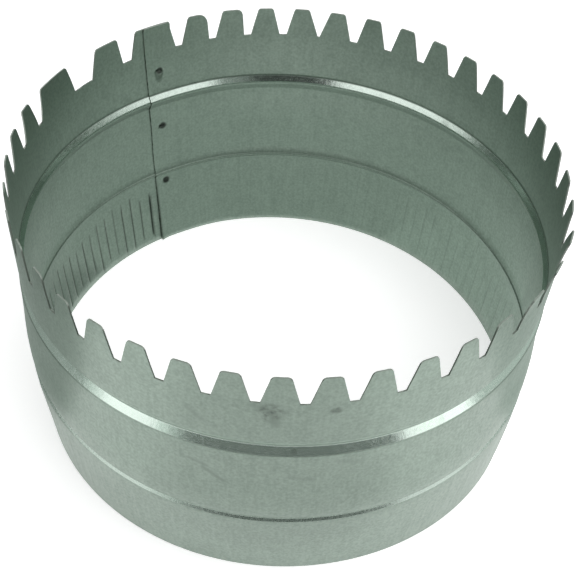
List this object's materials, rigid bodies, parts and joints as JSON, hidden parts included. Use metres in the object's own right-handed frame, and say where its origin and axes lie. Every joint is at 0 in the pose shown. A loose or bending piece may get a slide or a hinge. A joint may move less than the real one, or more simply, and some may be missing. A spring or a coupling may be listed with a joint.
{
  "type": "duct starting collar",
  "caption": "Short galvanised duct collar: toothed neck above a rolled bead and a stepped body, with a drawn-in crimped lower end and a lapped side seam.",
  "frame": {"origin": "centre of the ring on the plane of its bottom edge", "axes": "+Z along the duct axis towards the teeth; the lapped seam stands at 125 degrees anticlockwise from +X seen from above, so -Y is the side nearest the camera"},
  "size_m": [0.2032, 0.2032, 0.1167],
  "materials": {
    "galvanised_sheet": "bare galvanised sheet, dull and lightly marked, burnished along the bead"
  },
  "bodies": {
    "root": {"collar": "galvanised_sheet"}
  },
  "joints": []
}
